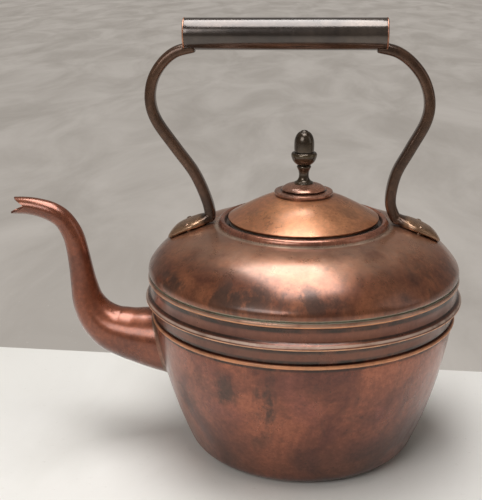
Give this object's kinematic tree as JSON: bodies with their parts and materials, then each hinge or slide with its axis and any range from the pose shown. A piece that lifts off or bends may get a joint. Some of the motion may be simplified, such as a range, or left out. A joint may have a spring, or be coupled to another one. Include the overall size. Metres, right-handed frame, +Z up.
{
  "type": "stovetop kettle",
  "caption": "Antique copper stovetop kettle with a beaded waist, swan-neck spout, lift-off domed lid with an acorn finial, and a fixed overhead handle on riveted feet",
  "frame": {"origin": "on the body's axis, on the flat face that the kettle stands on", "axes": "-Z down into the surface it stands on, +Z up the body's axis through the finial; the spout points to -X and the grip runs along X; +Y across, from one side of the body to the other"},
  "size_m": [0.3177, 0.2216, 0.302],
  "materials": {
    "copper_body": "aged reddish-brown copper, satin, with dark patches of patina; tinned inside",
    "copper_mouldings": "aged copper, rubbed bright along the edges, dark and slightly green in the grooves",
    "copper_spout": "warm red-brown copper, satin, darker below",
    "copper_lid": "golden-orange copper, satin, with grey-brown spots",
    "brass_finial": "dark olive-brown brass, glossy",
    "bronze_handle": "dark olive-brown bronze, rubbed golden on the feet",
    "bronze_grip": "dark polished bronze tube",
    "copper_caps": "copper, dull red",
    "copper_rivets": "bronze rivet heads, bright on top and dark round the edge"
  },
  "bodies": {
    "kettle": {"lower_bowl": "copper_body", "waist_band": "copper_mouldings", "shoulder": "copper_body", "mouth_ring": "copper_mouldings", "spout": "copper_spout", "spout_flange": "copper_spout", "handle_arm_left": "bronze_handle", "handle_arm_right": "bronze_handle", "grip_tube": "bronze_grip", "grip_cap_left": "copper_caps", "grip_cap_right": "copper_caps", "rivet_left_1": "copper_rivets", "rivet_left_2": "copper_rivets", "rivet_right_1": "copper_rivets", "rivet_right_2": "copper_rivets"},
    "lid": {"lid_dome": "copper_lid", "lid_flange": "copper_lid", "lid_boss_lower": "copper_lid", "lid_boss_upper": "copper_lid", "finial_stem": "brass_finial", "finial_cup": "brass_finial", "finial_acorn": "brass_finial", "finial_stud": "brass_finial", "finial_washer": "brass_finial", "finial_nut": "brass_finial"}
  },
  "joints": [
    {"name": "lid_lift", "type": "slide", "parent": "kettle", "child": "lid", "axis": [0, 0, 1], "range_m": [0, 0.048]}
  ]
}
